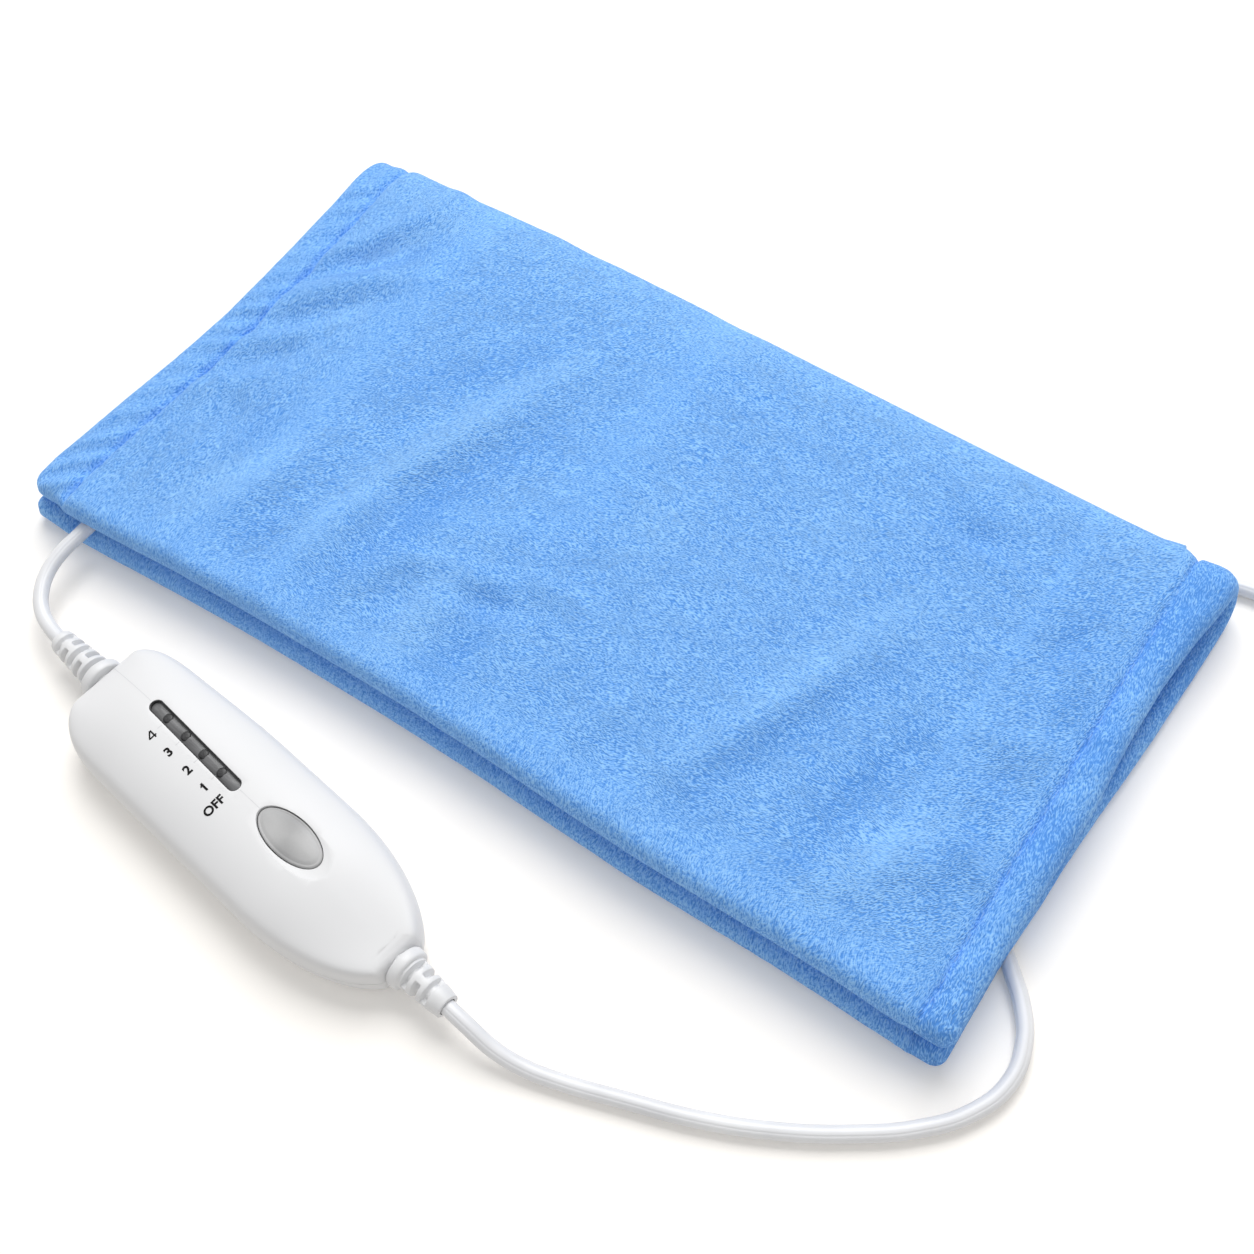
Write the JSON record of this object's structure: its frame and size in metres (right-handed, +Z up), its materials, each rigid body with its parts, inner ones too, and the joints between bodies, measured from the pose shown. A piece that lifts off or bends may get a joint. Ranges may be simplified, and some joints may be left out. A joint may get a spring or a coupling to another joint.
{
  "type": "heating pad with hand controller",
  "caption": "Plush electric heating pad folded in half, with a push-button hand controller on its lead, a coiled mains lead and a plug.",
  "frame": {"origin": "on the surface the pad lies on, under the middle of the folded pad", "axes": "+X along the pad's long side, +Y towards its fold, +Z up"},
  "size_m": [0.4932, 0.4375, 0.0257],
  "materials": {
    "plush": "short-napped plush",
    "felt": "matt felt",
    "wire_cover": "smooth insulation",
    "cut_off_case": "matt",
    "shell": "glossy moulding",
    "lead_cover": "semi-gloss vinyl",
    "button": "satin silver",
    "lens": "smoked, glossy",
    "lamp": "unlit lamp",
    "board": "coated board",
    "component": "matt",
    "tie": "matt",
    "steel": "plain",
    "brass": "plain"
  },
  "bodies": {
    "pad_and_controller": {"plush_cover_lower": "plush", "plush_cover_fold": "plush", "heating_panel_lower": "felt", "heating_wire_lower": "wire_cover", "thermal_cut_off_1": "cut_off_case", "thermal_cut_off_2": "cut_off_case", "pad_lead_boot": "lead_cover", "pad_lead": "lead_cover", "mains_lead": "lead_cover", "mains_lead_coil": "lead_cover", "coil_tie": "tie", "mains_lead_end": "lead_cover", "plug_body": "lead_cover", "plug_blade_1": "brass", "plug_blade_2": "brass", "housing_upper": "shell", "housing_lower": "shell", "housing_screw_1": "steel", "housing_screw_2": "steel", "housing_screw_3": "steel", "housing_screw_4": "steel", "window_lens": "lens", "lamp_1": "lamp", "lamp_2": "lamp", "lamp_3": "lamp", "lamp_4": "lamp", "switch_case": "component", "circuit_board": "board", "film_capacitor": "component", "triac": "component", "control_chip": "component", "fuse": "brass", "pad_conductor_1": "wire_cover", "pad_conductor_2": "component", "mains_conductor_1": "wire_cover", "mains_conductor_2": "component", "strain_relief_pad": "lead_cover", "strain_relief_mains": "lead_cover"},
    "upper_half": {"plush_cover_upper": "plush", "heating_panel_upper": "felt", "heating_wire_upper": "wire_cover"},
    "button": {"button_cap": "button", "switch_plunger": "button"}
  },
  "joints": [
    {"name": "pad_unfold", "type": "hinge", "parent": "pad_and_controller", "child": "upper_half", "pos_m": [0, 0.0842, 0.0128], "axis": [-1, 0, 0], "range_deg": [0, 179.9], "deforming": ["plush_cover_fold"]},
    {"name": "button_press", "type": "slide", "parent": "pad_and_controller", "child": "button", "axis": [0, 0, -1], "range_m": [0, 0.001], "stiffness_N_per_m": 400}
  ]
}
